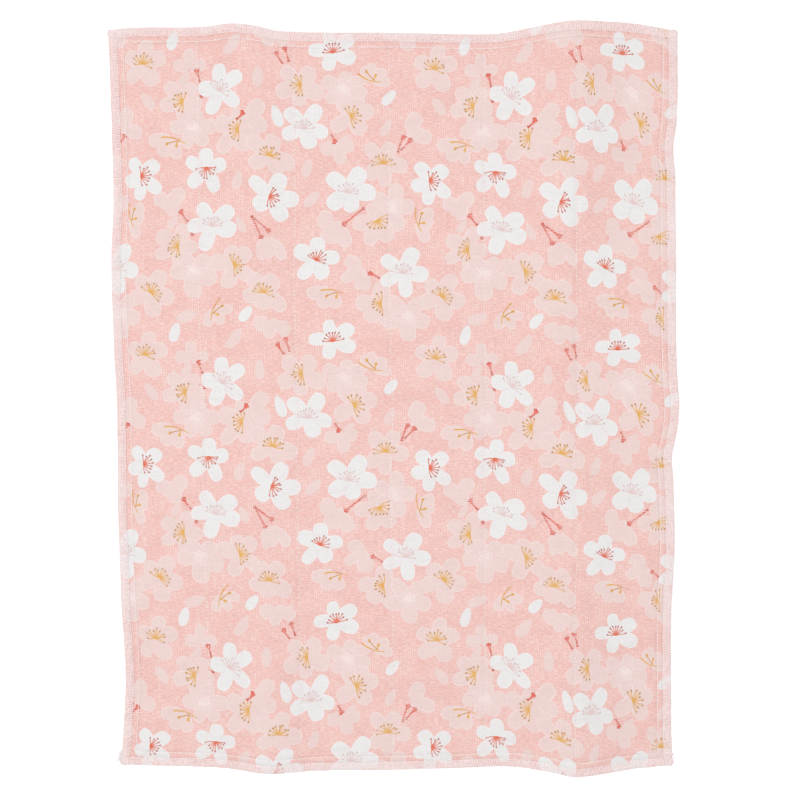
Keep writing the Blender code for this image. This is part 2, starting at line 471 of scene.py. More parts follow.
paleBlossoms = (
    (17.7, 381.8, 80, "gold", (-69, 14.4), (15, 12.8), (80, 12.8), (156, 11.7), (230, 14.4)),
    (37.2, 361.2, 170, "gold", (-77, 14.4), (-8, 11.7), (54, 12.3), (125, 12.8), (196, 12.3)),
    (66.8, 345.2, 180, "gold", (-70, 12.8), (8, 12.8), (75, 11.7), (160, 13.3), (230, 16.0)),
    (84.3, 334.5, 80, "gold", (-70, 11.2), (-18, 14.4), (75, 11.2), (153, 14.4), (216, 14.4)),
    (99.9, 372.1, 180, "gold", (-90, 11.7), (-24, 14.9), (47, 12.3), (137, 13.3), (200, 13.9)),
    (127.8, 356.0, 20, "gold", (-61, 11.7), (17, 12.8), (70, 11.2), (130, 12.3), (210, 13.9)),
    (144.5, 331.6, 85, "gold", (-85, 13.9), (-13, 13.9), (62, 11.7), (137, 13.3), (222, 13.3)),
    (34.6, 284.4, 180, "gold", (-75, 13.3), (0, 11.7), (70, 13.3), (146, 13.3), (207, 12.8)),
    (66.2, 274.0, 15, "gold", (-40, 12.8), (50, 12.3), (108, 10.7), (171, 14.9), (248, 14.4)),
    (21.8, 260.2, 50, "gold", (-90, 14.4), (-22, 13.3), (63, 13.3), (140, 11.7), (200, 14.9)),
    (80.9, 261.4, 90, "gold", (-92, 10.7), (-35, 15.5), (50, 11.7), (130, 11.2), (208, 12.3)),
    (141.2, 299.7, 300, "gold", (-58, 13.3), (12, 12.8), (105, 11.2), (180, 14.4), (248, 13.9)),
    (142.5, 255.3, 185, "gold", (-60, 15.5), (5, 12.3), (78, 12.3), (176, 13.3), (240, 12.3)),
    (123.1, 369.7, 60, "white", (-88, 13.3), (-8, 13.3), (75, 10.7), (152, 12.8), (215, 11.2)),
    (43.8, 271.6, 90, "white", (-92, 15.5), (-22, 13.9), (45, 11.7), (125, 11.2), (187, 13.3)),
    (43.3, 347.0, 80, "white", (-55, 12.3), (6, 13.3), (75, 10.7), (178, 12.8), (245, 11.7)),
    (149.2, 307.2, 200, "white", (-70, 13.3), (5, 12.3), (80, 13.9), (150, 12.8), (215, 11.7)),
    (3.2, 248.3, 90, "white", (-90, 13.9), (-15, 12.8), (55, 12.8), (130, 13.9), (200, 13.3)),
)
# seen from the side: x, y, way the curved calyx runs, then the petals
sideBlossoms = (
    (136.9, 375.4, 340, (-8, 11.7), (30, 10.7), (75, 9.0), (112, 7.5)),
    (32.6, 341.2, 346, (185, 13.9), (232, 11.7), (282, 11.2)),
    (8.1, 301.1, 284, (-65, 13.9), (-20, 9.5), (25, 10.0)),
    (117.6, 262.3, 352, (188, 14.4), (228, 11.7), (280, 10.5)),
    (55.1, 251.1, 244, (-115, 11.2), (-65, 10.2), (-12, 10.2)),
)
# seen from the back: x, y, then the petals
backBlossoms = (
    (41.9, 378.6, (15, 9.6), (90, 10.7), (165, 9.1)),
    (3.2, 348.2, (-18, 14.4), (55, 11.2)),
    (72.0, 351.3, (-15, 11.7), (48, 13.9)),
    (26.5, 304.0, (8, 8.0), (42, 16.0), (105, 9.6)),
    (84.0, 400.8, (-155, 9.6), (-90, 10.7), (-30, 13.3)),
    (121.2, 339.6, (-170, 10.7), (-85, 9.6), (0, 8.0)),
    (84.9, 291.3, (-125, 11.7), (-100, 13.3), (-60, 14.4)),
    (117.8, 299.7, (-195, 8.5), (-105, 12.8), (-60, 16.0)),
    (133.1, 275.2, (150, 10.7), (215, 13.3), (265, 12.8)),
)
# x, y, half length, turn, kind
sprigs = (
    (33.6, 393.3, 5.5, 73, "white petal"),
    (88.0, 355.2, 5.8, 108, "white petal"),
    (147.4, 365.5, 5.0, 48, "white petal"),
    (71.5, 247.9, 5.2, 52, "white petal"),
    (65.9, 390.4, 5.3, 57, "pale petal"),
    (19.7, 361.2, 5.3, 125, "pale petal"),
    (78.2, 374.0, 5.5, 85, "pale petal"),
    (66.5, 318.4, 5.3, 72, "pale petal"),
    (105.9, 311.9, 5.5, 45, "pale petal"),
    (68.3, 295.3, 4.5, 118, "pale petal"),
    (103.7, 328.3, 5.3, 68, "pale petal"),
    (145.9, 349.6, 4.8, 62, "pale petal"),
    (40.1, 247.0, 5.8, 20, "pale petal"),
    (39.1, 372.8, 4.5, 55, "pale petal"),
    (32.0, 297.2, 4.2, 60, "pale petal"),
    (64.7, 233.0, 5.3, 40, "pale petal"),
    (124.3, 343.8, 3.6, 35, "pale petal"),
    (135.7, 266.6, 4.7, 80, "pale petal"),
    (79.9, 282.9, 5.5, 88, "pale petal"),
    (92.1, 241.8, 5.0, 84, "pale petal"),
    (89.8, 386.2, 3.8, 119, "twig"),
    (93.4, 388.2, 4.3, 107, "twig"),
    (46.5, 374.8, 4.0, 104, "twig"),
    (68.6, 352.8, 3.3, 52, "twig"),
    (117.9, 343.5, 2.9, 295, "twig"),
    (0.4, 341.3, 5.2, 70, "twig"),
    (3.2, 341.0, 4.4, 48, "twig"),
    (37.9, 300.9, 4.1, 126, "twig"),
    (77.1, 294.5, 6.5, 298, "twig"),
    (79.2, 296.7, 6.3, 326, "twig"),
    (127.9, 302.4, 7.6, 219, "twig"),
    (139.5, 270.9, 3.7, 152, "twig"),
    (48.1, 363.8, 1.0, 0, "dot"),
    (42.6, 290.8, 1.0, 0, "dot"),
)
sprigCodes = {"white petal": 1.0, "pale petal": 2.0, "twig": 3.0, "dot": 4.0}
screenGap = 1.5                            # mm kept clear round a motif, half a face or more


def onScreens(motifs):                     # splits motifs among screens on which none touches another
    screens = []
    for motif in motifs:
        for screen in screens:
            if all(clear(motif, other) for other in screen):
                screen.append(motif)
                break
        else:
            screens.append([motif])
    return screens


def clear(motif, other):                   # far enough apart, in this repeat and the next ones
    gapX = abs(motif["x"] - other["x"]) % repeat["across"]
    gapY = abs(motif["y"] - other["y"]) % repeat["along"]
    gapX = min(gapX, repeat["across"] - gapX)
    gapY = min(gapY, repeat["along"] - gapY)
    return math.hypot(gapX, gapY) > motif["size"] + other["size"] + 2 * screenGap


def everyRepeat(x, y):                     # where a motif comes on the cloth
    past = repeat["past"]
    for column in range(-1, 3):
        for row in range(-1, 4):
            spotX = x + column * repeat["across"]
            spotY = y - row * repeat["along"]
            inside = -past < spotX < cloth["width"] + past
            if inside and -past < spotY < cloth["length"] + repeat["pastTop"]:
                yield spotX, spotY


def beforeSewing(across, along):           # where a place on the sewn cloth was when it was printed
    def tuck(inset):
        share = (inset - repeat["tuckFrom"]) / (repeat["tuckTo"] - repeat["tuckFrom"])
        return 1 - smooth(np.clip(share, 0, 1))
    tucks = repeat["tucks"]
    x = across - tucks["left"] * tuck(across) + tucks["right"] * tuck(cloth["width"] - across)
    x = x - edgeOut(repeat["aside"], across)
    y = along + edgeOut(repeat["dip"], across)
    for spotX, spotY, reachX, reachY, right, down in repeat["drawn"]:
        near = np.exp(-(((across - spotX) / reachX) ** 2) - ((along - spotY) / reachY) ** 2)
        x, y = x - right * near, y + down * near
    return x, y


def nearestMotifs(centres, screen):        # for each face, the motif nearest to it and its place
    spots = [
        (x, y, index)
        for index, motif in enumerate(screen)
        for x, y in everyRepeat(motif["x"], motif["y"])
    ]
    best = np.zeros(len(centres), int)
    least = np.full(len(centres), np.inf)
    for number, (x, y, index) in enumerate(spots):
        away = (centres[:, 0] - x) ** 2 + (centres[:, 1] - y) ** 2
        nearer = away < least
        best[nearer] = number
        least[nearer] = away[nearer]
    chosen = np.array(spots)[best]
    return chosen[:, 0], chosen[:, 1], chosen[:, 2].astype(int)


def addCorners(mesh, name, values):
    layer = mesh.attributes.new(name, "FLOAT_VECTOR", "CORNER")
    layer.data.foreach_set("vector", values.astype(np.float32).ravel())


petalCode = {                              # how the petals are packed in two numbers for the shader
    "count": 5,
    "base": 16,
    "straight": 8,
    "leanStep": 3.0,                       # degrees
    "shortest": 0.55,                      # of the longest petal
    "lengthStep": 0.03,
    "seedStep": 10,                        # a blossom's number and its petal spacing share one number
}
petalReach = 0.95                          # petals as drawn, of their charted lengths
stamenReach = 7.6                          # mm from the hub
stamenScale = 12.9                         # mm, the length that the stamens' shader works in


def packed(digits):
    return float(sum(digit * petalCode["base"] ** place for place, digit in enumerate(digits)))


def petalsOf(x, y, *petals):
    ways = [way for way, _ in petals]
    longest = max(length for _, length in petals)
    spacing = (ways[-1] - ways[0]) / (len(petals) - 1)
    if len(petals) == petalCode["count"]:
        spacing = 360 / petalCode["count"]
    first = -(len(petals) // 2)
    turn = sum(way - (first + number) * spacing for number, way in enumerate(ways)) / len(ways)
    most = petalCode["base"] - 1
    middle = petalCode["count"] // 2
    leans, lengths = [0] * petalCode["count"], [0] * petalCode["count"]
    for number, (way, length) in enumerate(petals):
        lean = (way - turn - (first + number) * spacing) / petalCode["leanStep"]
        share = (length / longest - petalCode["shortest"]) / petalCode["lengthStep"]
        leans[first + number + middle] = min(max(round(lean) + petalCode["straight"], 0), most)
        lengths[first + number + middle] = min(max(round(share), 1), most)
    packing = [math.radians(turn), packed(leans), packed(lengths)]
    return {"x": x, "y": y, "size": longest, "packing": packing, "spacing": math.radians(spacing)}


def stamensOf(x, y, facing, ink, side=0.0):
    return {"x": x, "y": y, "size": stamenReach, "packing": [inks[ink][0], math.radians(facing), side]}


def sideStamensOf(x, y, run, *petals):
    middle = petals[len(petals) // 2][0]
    return stamensOf(x, y, run, "gold", 1.0 if math.sin(math.radians(middle - run)) > 0 else -1.0)


def sprig(x, y, half, turn, kind):
    return {"x": x, "y": y, "size": half, "turn": math.radians(turn), "code": sprigCodes[kind]}


def printMotifs(mesh, corners, name, screen, scales, seeds):
    x, y, which = nearestMotifs(corners.mean(axis=1), screen)
    scale = np.array(scales)[which][:, None]
    place = np.zeros(corners.shape[:2] + (3,))
    place[:, :, 0] = (corners[:, :, 0] - x[:, None]) / scale
    place[:, :, 1] = (corners[:, :, 1] - y[:, None]) / scale
    place[:, :, 2] = np.array(seeds)[which][:, None]
    packing = np.array([motif["packing"] for motif in screen])[which]
    addCorners(mesh, name + "Place", place)
    addCorners(mesh, name + "Packing", np.repeat(packing[:, None], 4, axis=1))


def printPetals(mesh, corners, name, screen):
    seeds = [(number + 1) * petalCode["seedStep"] + motif["spacing"] for number, motif in enumerate(screen)]
    printMotifs(mesh, corners, name, screen, [motif["size"] * petalReach for motif in screen], seeds)


def printStamens(mesh, corners, name, screen):
    seeds = [number * 3 + 1 for number in range(len(screen))]
    printMotifs(mesh, corners, name, screen, [stamenScale] * len(screen), seeds)


def printSprigs(mesh, corners, name, screen):
    x, y, which = nearestMotifs(corners.mean(axis=1), screen)
    turn = np.array([motif["turn"] for motif in screen])[which][:, None]
    size = np.array([[motif["size"], motif["code"], number] for number, motif in enumerate(screen)])[which]
    fromX = corners[:, :, 0] - x[:, None]
    fromY = corners[:, :, 1] - y[:, None]
    place = np.zeros(corners.shape[:2] + (3,))
    place[:, :, 0] = fromX * np.cos(turn) + fromY * np.sin(turn)
    place[:, :, 1] = fromY * np.cos(turn) - fromX * np.sin(turn)
    addCorners(mesh, name + "Place", place)
    addCorners(mesh, name + "Size", np.repeat(size[:, None], 4, axis=1))


whiteScreens = onScreens([petalsOf(*row[:2], *row[4:]) for row in whiteBlossoms])
paleScreens = onScreens(
    [petalsOf(*row[:2], *row[4:]) for row in paleBlossoms]
    + [petalsOf(*row[:2], *row[3:]) for row in sideBlossoms]
    + [petalsOf(*row) for row in backBlossoms]
)
stamenScreens = onScreens(
    [stamensOf(*row[:4]) for row in whiteBlossoms + paleBlossoms]
    + [sideStamensOf(*row) for row in sideBlossoms]
)
sprigScreens = onScreens([sprig(*row) for row in sprigs])
print(
    "screens:", len(whiteScreens), "white,", len(paleScreens), "pale,", len(stamenScreens), "of stamens,",
    len(sprigScreens), "of sprigs",
)


petalForm = {                              # lengths are shares of the blossom's longest petal
    "aslant": 0.12,                        # how far a tip leans over
    "uneven": 0.2,                         # by how much petals differ in width
    "bluntness": 0.25,
    "tipLeast": 0.02,                      # keeps the bluntness from running away at the very tip
    "widest": 0.45,                        # puts the widest place past the middle
    "fullness": 1.825,
    "crowding": (0.3, 0.62),               # petals that stand closer are narrower
    "edge": (-0.010, 0.012),
    "rim": (0.036, 0.012),
    "meeting": (0.012, 0.003),             # the line where two petals meet
    "meetingFrom": (0.2, 0.34),            # how far out it starts
}


def petalGroup():                          # five petals or fewer
    tree, given, result = makeGroup(
        "printedPetals", vectors("Place", "Packing") | floats("Width"), floats("Petal", "Rim", "Meeting"),
    )
    form = petalForm
    slope, least = form["crowding"]
    x, y, seeds = apart(tree, given["Place"])
    turn, leans, lengths = apart(tree, given["Packing"])
    spacing = seeds.math("FLOORED_MODULO", float(petalCode["seedStep"]))
    seed = (seeds - spacing).math("ROUND")
    away = (x * x + y * y).math("SQRT")
    angle = (y.math("ARCTAN2", x) - turn).math("WRAP", math.pi, -math.pi)
    base = constant(tree, float(petalCode["base"]))

    def digit(code, scale):
        return ((code + 0.5) / scale).math("FLOOR").math("FLOORED_MODULO", float(petalCode["base"]))

    def petalAt(number):                   # above 0 inside the petal
        place = (number + float(petalCode["count"] // 2)).math("FLOORED_MODULO", float(petalCode["count"]))
        scale = base.math("POWER", place)
        size = digit(lengths, scale)
        lean = (digit(leans, scale) - petalCode["straight"]) * math.radians(petalCode["leanStep"])
        thicker, aslant, _ = chance(tree, place, seed)
        off = angle - number * spacing - lean
        outward = away * off.math("COSINE") / (size * petalCode["lengthStep"] + petalCode["shortest"])
        sideways = away * off.math("SINE") + (aslant - 0.5) * outward * outward * form["aslant"]
        left = outward * -1.0 + 1.0
        blunt = left * (left.math("ABSOLUTE") + form["tipLeast"]).math("POWER", -form["bluntness"])
        uneven = thicker * form["uneven"] + (1 - form["uneven"] / 2)
        width = given["Width"] * uneven * (spacing * slope + least)
        swell = outward + form["widest"]
        inside = blunt * swell * swell * width * width * form["fullness"] - sideways * sideways
        there = size.math("GREATER_THAN", 0.5) * number.math("ABSOLUTE").math("LESS_THAN", 3.5)
        return inside + there - 1.0

    number = (angle / spacing).math("FLOOR")
    one, other = petalAt(number), petalAt(number + 1.0)
    inside = one.math("MAXIMUM", other)
    shape = inside.within(*form["edge"])
    meeting = (one - other).math("ABSOLUTE").within(*form["meeting"]) * away.within(*form["meetingFrom"])
    give(tree, result, Petal=shape, Rim=shape * inside.within(*form["rim"]), Meeting=shape * meeting)
    return tree


# lengths of both are shares of stamenScale, and an edge or reach is where a mask is 0 and where it is 1
openStamens = {
    "hub": 0.06,                           # how far the threads' hub stands behind the blossom's middle
    "step": 0.46,                          # radians from stamen to stamen
    "bend": 0.6,
    "spread": (0.12, 0.83),                # how much wider gold ones fan out, and how wide all do
    "fan": (-0.3, 1.1),                    # how the threads close in on the way out
    "most": 4.5,                           # stamens to each side of the middle one
    "length": (0.14, 0.003, 0.3),          # by chance, by how far to the side, and at least
    "thread": (-0.02, 0.031),              # half its width: change outwards, and at the hub
    "threadEdge": (1.3, 0.4),
    "dot": (0.062, 0.028),
    "bowl": (1.2, 0.05, 50.0),             # bow, depth and narrowness of the cup at the hub
    "bowlEdge": (1.3, 0.6),
    "glow": (0.6, 0.1),                    # soft colour round white stamens on a pale blossom
    "glowStrength": 0.5,
}
sideStamens = {
    "bow": 0.4,
    "drop": 0.05,
    "arch": (-0.02, 0.03),                 # half its width: change along it, and at its middle
    "archEdge": (1.25, 0.6),
    "archReach": (0.53, 0.5),
    "archShift": 0.02,
    "branch": (0.54, 0.17, 0.026),         # slope, how far under the arch, half its width
    "branchReach": (0.26, 0.23),
    "tips": 0.2,                           # how far each way from the middle they hang
    "fall": 0.15,                          # middle of the thread that one tip hangs by
    "fallWidth": (0.04, 0.02),
    "fallReach": (0.11, 0.09),
    "tipUnder": (0.27, 0.05),
    "tipTallness": 0.6,
    "tipSize": (0.07, 0.045),
    "branchDark": 0.7,                     # how far the branch takes the tips' colour
}


def opened(tree, x, y, seed, code, facing):    # they rise from a bowl and bend towards the way it faces
    form = openStamens
    east, north = facing.math("COSINE"), facing.math("SINE")
    fromX, fromY = x + east * form["hub"], y + north * form["hub"]
    ahead = fromX * east + fromY * north
    abreast = fromY * east - fromX * north
    out = (fromX * fromX + fromY * fromY).math("SQRT")
    bearing = abreast.math("ARCTAN2", ahead)
    bend = (chance(tree, seed, seed)[0] - 0.5) * form["bend"]
    spread = code.math("LESS_THAN", 0.3) * form["spread"][0] + form["spread"][1]
    swept = (bearing + bend * out) / (out * form["fan"][0] + form["fan"][1]) / spread
    stamen = (swept / form["step"]).math("ROUND")
    longer, swing, _ = chance(tree, stamen, seed + 0.5)
    byChance, bySide, atLeast = form["length"]
    length = longer * byChance + stamen * stamen * bySide + atLeast
    beside = (swept - stamen * form["step"] + (swing - 0.5) * form["step"] * 0.5) * out
    among = stamen.math("ABSOLUTE").math("LESS_THAN", form["most"])
    thread = beside.math("ABSOLUTE") / (out * form["thread"][0] + form["thread"][1])
    thread = thread.within(*form["threadEdge"]) * out.math("LESS_THAN", length) * among
    past = out - length
    dot = (past * past + beside * beside).math("SQRT").within(*form["dot"]) * among
    bow, depth, narrowness = form["bowl"]
    hollow = (ahead - abreast * abreast * bow) / depth
    bowl = (hollow * hollow + abreast * abreast * narrowness).within(*form["bowlEdge"])
    glow = (x * x + y * y).math("SQRT").within(*form["glow"]) * form["glowStrength"]
    glow = glow * code.math("COMPARE", inks["white"][0], 0.05)
    return thread.math("MAXIMUM", dot).math("MAXIMUM", bowl).math("MAXIMUM", glow), dot


def hung(x, y, facing, side):              # a thin arch with a branch, and two plump tips hanging under it
    form = sideStamens
    east, north = facing.math("COSINE"), facing.math("SINE")
    u = x * east + y * north
    v = (y * east - x * north) * side
    rise = v - u * u * form["bow"] + form["drop"]
    arch = (rise.math("ABSOLUTE") / (u * form["arch"][0] + form["arch"][1])).within(*form["archEdge"])
    arch = arch * (u - form["archShift"]).math("ABSOLUTE").within(*form["archReach"])
    slope, under, half = form["branch"]
    branch = ((rise + u * slope - under).math("ABSOLUTE") / half).within(*form["archEdge"])
    branch = branch * u.math("ABSOLUTE").within(*form["branchReach"])
    fall = (u - form["tips"]).math("ABSOLUTE").within(*form["fallWidth"])
    fall = fall * (rise - form["fall"]).math("ABSOLUTE").within(*form["fallReach"])
    tipX = u.math("ABSOLUTE") - form["tips"]
    tipY = rise - form["tipUnder"][0] + u * form["tipUnder"][1]
    tip = (tipX * tipX + tipY * tipY * form["tipTallness"]).math("SQRT").within(*form["tipSize"])
    return arch.math("MAXIMUM", branch).math("MAXIMUM", fall).math("MAXIMUM", tip), branch


def stamenGroup():                         # those of an open blossom, or of one seen from the side
    tree, given, result = makeGroup("printedStamens", vectors("Place", "Packing"), floats("Stamen", "Tip"))
    x, y, seed = apart(tree, given["Place"])
    code, facing, side = apart(tree, given["Packing"])
    sideOn = side.math("ABSOLUTE")
    upright, dot = opened(tree, x, y, seed, code, facing)
    arched, branch = hung(x, y, facing, side)
    give(
        tree, result,
        Stamen=upright * (sideOn * -1.0 + 1.0) + arched * sideOn,
        Tip=dot * (sideOn * -1.0 + 1.0) + branch * sideOn * sideStamens["branchDark"],
    )
    return tree


sprigForm = {                              # mm, but for shares of a petal's or a twig's half length
    "petalTaper": (-0.09, 0.5),
    "petalEdge": (-0.02, 0.03),
    "bow": 1.6,
    "ragged": (1.25, 0.7),                 # how close and how deep the head's notches are
    "headFrom": (4.0, 0.5),
    "headWidth": 1.15,
    "footFrom": (-0.75, -0.95),
    "footWidth": 0.3,
    "stemWidth": 0.5,
    "stemEdge": (-0.12, 0.16),
    "headEdge": (-0.1, 0.2),
    "footEdge": (-1.04, -0.98),
    "dotTallness": 0.7,
    "dotEdge": (1.5, 0.7),
    "stemDark": (0.1, -0.9, 0.5),          # from, to and how strong
    "headDark": (0.9, 0.2, 0.45),
    "dotDark": 0.5,
}


def sprigGroup():                          # loose petals, bud twigs and dots
    tree, given, result = makeGroup(
        "printedSprig", vectors("Place", "Size"), floats("White", "Pale", "Red", "Dark"),
    )
    form = sprigForm
    x, y, _ = apart(tree, given["Place"])
    half, code, seed = apart(tree, given["Size"])

    def only(kind):
        return code.math("COMPARE", sprigCodes[kind], 0.2)

    along, beside = x / half, y / half
    taper = along * form["petalTaper"][0] + form["petalTaper"][1]
    petal = ((along * along * -1.0 + 1.0) * taper * taper - beside * beside).within(*form["petalEdge"])

    # a bud twig: a thin bowed stem that opens into a ragged head at its upper end
    bow = (chance(tree, seed, code)[0] - 0.5) * form["bow"]
    bowed = y - bow * (along * along * -1.0 + 1.0)
    fromEnd = half - x
    crown = (bowed * form["ragged"][0]).math("SINE").math("ABSOLUTE") * form["ragged"][1]
    head = fromEnd.within(*form["headFrom"]) * form["headWidth"]
    width = head + along.within(*form["footFrom"]) * form["footWidth"] + form["stemWidth"]
    twig = (width - bowed.math("ABSOLUTE")).within(*form["stemEdge"])
    twig = twig * (fromEnd - crown).within(*form["headEdge"])
    twig = twig * along.within(*form["footEdge"]) * only("twig")
    dot = (x * x + y * y * form["dotTallness"]).within(*form["dotEdge"]) * only("dot")
    fromX, toX, strength = form["stemDark"]
    dark = along.within(fromX, toX) * strength
    fromX, toX, strength = form["headDark"]
    dark = dark + (fromEnd - crown).within(fromX, toX) * strength
    give(
        tree, result,
        White=petal * only("white petal"), Pale=petal * only("pale petal"),
        Red=twig.math("MAXIMUM", dot), Dark=dark.math("MAXIMUM", dot * form["dotDark"]),
    )
    return tree


printColours = {
    "ground": colour(250, 215, 208),
    "pale": colour(238, 217, 213),
    "paleRim": colour(244, 228, 226),
    "white": colour(236, 239, 239),
    "whiteRim": colour(242, 244, 244),
    "twig": colour(229, 106, 86),
    "twigEnd": colour(184, 86, 78),
    "paleStrength": 0.95,
    "rimStrength": 0.75,
    "meeting": colour(226, 204, 203),
    "meetingStrength": 0.6,
    "petalWidth": 0.286,                   # half a petal's width, in lengths of the longest
    "paleWidth": 0.305,
    "palePaint": 0.95,                     # how far pale ink hides the weave, where 1 is white ink
    "tipStrength": 0.8,
}


def inkRamp(tree, code, which):            # the line or the tip colour of an ink code
    node = tree.nodes.new("ShaderNodeValToRGB")
    node.color_ramp.interpolation = "CONSTANT"
    rows = list(inks.values())
    for row in rows[2:]:
        node.color_ramp.elements.new(row[0])
    for element, row in zip(node.color_ramp.elements, rows):
        element.position = row[0]
        element.color = row[which]
    plug(tree, node.inputs[0], code + 0.05)
    return Wire(tree, node.outputs["Color"])


def printGroup():                          # the whole print, from the screens' attributes
    tree, _, result = makeGroup("blossomPrint", {}, {"Color": "NodeSocketColor", "Paint": "NodeSocketFloat"})
    drawPetals = petalGroup()
    drawStamens = stamenGroup()
    drawSprig = sprigGroup()

    def onto(under, share, over):
        return blend(tree, share, under, over)

    def given(name):
        return Wire(tree, attribute(tree, name).outputs["Vector"])

    def petals(name, width):
        place, packing = given(name + "Place"), given(name + "Packing")
        return useGroup(tree, drawPetals, Place=place, Packing=packing, Width=width)

    small = []
    for number in range(len(sprigScreens)):
        name = "sprig" + str(number)
        small.append(useGroup(tree, drawSprig, Place=given(name + "Place"), Size=given(name + "Size")))
    stamens = []
    for number in range(len(stamenScreens)):
        name = "stamens" + str(number)
        packing = given(name + "Packing")
        code = apart(tree, packing)[0]
        masks = useGroup(tree, drawStamens, Place=given(name + "Place"), Packing=packing)
        line, tip = inkRamp(tree, code, 1), inkRamp(tree, code, 2)
        tone = onto(line, masks["Tip"] * printColours["tipStrength"], tip)
        stamens.append((masks["Stamen"], code.math("GREATER_THAN", 0.5), tone))

    ink = printColours["ground"]
    paint = constant(tree, 0.0)
    for number in range(len(paleScreens)):
        masks = petals("pale" + str(number), printColours["paleWidth"])
        ink = onto(ink, masks["Petal"] * printColours["paleStrength"], printColours["pale"])
        ink = onto(ink, masks["Rim"] * printColours["rimStrength"], printColours["paleRim"])
        paint = paint.math("MAXIMUM", masks["Petal"] * printColours["palePaint"])
    for masks in small:
        ink = onto(ink, masks["Pale"] * printColours["paleStrength"], printColours["pale"])
        paint = paint.math("MAXIMUM", masks["Pale"] * printColours["palePaint"])
    for mask, onWhite, tone in stamens:
        ink = onto(ink, mask * (onWhite * -1.0 + 1.0), tone)
    for masks in small:
        twig = onto(printColours["twig"], masks["Dark"], printColours["twigEnd"])
        ink = onto(ink, masks["Red"], twig)
    for number in range(len(whiteScreens)):
        masks = petals("white" + str(number), printColours["petalWidth"])
        ink = onto(ink, masks["Petal"], printColours["white"])
        ink = onto(ink, masks["Rim"] * printColours["rimStrength"], printColours["whiteRim"])
        ink = onto(ink, masks["Meeting"] * printColours["meetingStrength"], printColours["meeting"])
        paint = paint.math("MAXIMUM", masks["Petal"])
    for mask, onWhite, tone in stamens:
        ink = onto(ink, mask * onWhite, tone)
    for masks in small:
        ink = onto(ink, masks["White"], printColours["white"])
        paint = paint.math("MAXIMUM", masks["White"])
    give(tree, result, Color=ink, Paint=paint)
    return tree


print("towel: gauze weave")

weave = {
    "weftPitch": 1.02, "warpPitch": 0.96,  # mm from thread to thread
    "underPitch": 1.09,                    # the layer below, seen through the top one
    "weftSlack": 1.1, "warpSlack": 1.3,    # mm that the threads stray
    "weftSlope": 0.004, "underSlope": 0.015,
    "dash": (0.36, 0.64),                  # soft limits of clouds of about 0.3 to 0.7
    "show": (0.34, 0.62),
    "patch": (0.35, 0.65),
    "weftShow": (0.75, 0.25),              # by cloud, and at least
    "warpShow": (-0.5, 0.8),
    "warpHeight": 0.8, "underHeight": 0.15, "dashHeight": 0.5,
}


def ripple(place, pitch):                  # 0 to 1 and back in every pitch
    return (place * (2 * math.pi / pitch)).math("SINE") * 0.5 + 0.5


def weaveGroup():                          # open gauze threads, from a place in mm
    tree, given, result = makeGroup(
        "gauzeWeave", vectors("Place"), floats("Height", "Weft", "Warp", "Streak"),
    )
    across, along, _ = apart(tree, given["Place"])

    # each cloud has its own rates a mm, and a shift that keeps it apart from the others
    slack = cloud(tree, across * 0.1, along * 0.22, 2.0)
    weftPlace = along + slack * weave["weftSlack"] + across * weave["weftSlope"]
    warpPlace = across + cloud(tree, across * 0.35 + 9.0, along * 0.08, 1.0) * weave["warpSlack"]
    weft = ripple(weftPlace, weave["weftPitch"])
    warp = ripple(warpPlace, weave["warpPitch"])
    under = ripple(along + across * weave["underSlope"], weave["underPitch"])
    dash = cloud(tree, across * 0.4, weftPlace * 1.7, 2.0).within(*weave["dash"])
    show = cloud(tree, across * 0.12 + 3.0, along * 0.3, 2.0).within(*weave["show"])
    patch = cloud(tree, across * 0.06 + 7.0, along * 0.08, 2.0).within(*weave["patch"])
    weftShow = weft * (show * weave["weftShow"][0] + weave["weftShow"][1])
    warpShow = warp * (patch * weave["warpShow"][0] + weave["warpShow"][1])
    height = weftShow.math("MAXIMUM", warpShow * weave["warpHeight"])
    height = height + under * weave["underHeight"] + dash * weave["dashHeight"]
    give(tree, result, Height=height, Weft=weftShow, Warp=warpShow, Streak=dash)
    return tree


edgeLook = {
    "band": 4.4,                           # mm, where the overlock's threads cover the cloth
    "bandEdge": (0.25, -0.15),
    "tickPitch": 1.25,
    "tickSlope": 0.5,
    # ticks: the cloth between the overlock's threads, darkened with painted shade
    "tickShade": (0.1, 0.8),
    "tickInset": (0.8, 3.4),
    # the dark lines beside the two hem seams are painted crease shade, broken along the run
    "creaseShadePitch": 3.6,
    "creaseShade": (-0.6, 0.9),
    "creases": (4.85, 8.15),               # insets of the dark lines of painted crease shade beside the two hem seams
    "creaseWidth": (0.42, 0.1),
    "puckerPitch": 2.25,                   # bars that the quilting stitches pull up
    "pucker": (-0.2, 0.9),
    "puckerReach": (1.25, 0.4),
    "puckerInset": (4.0, 5.0),
    "puckerShow": (0.25, 0.5),
}


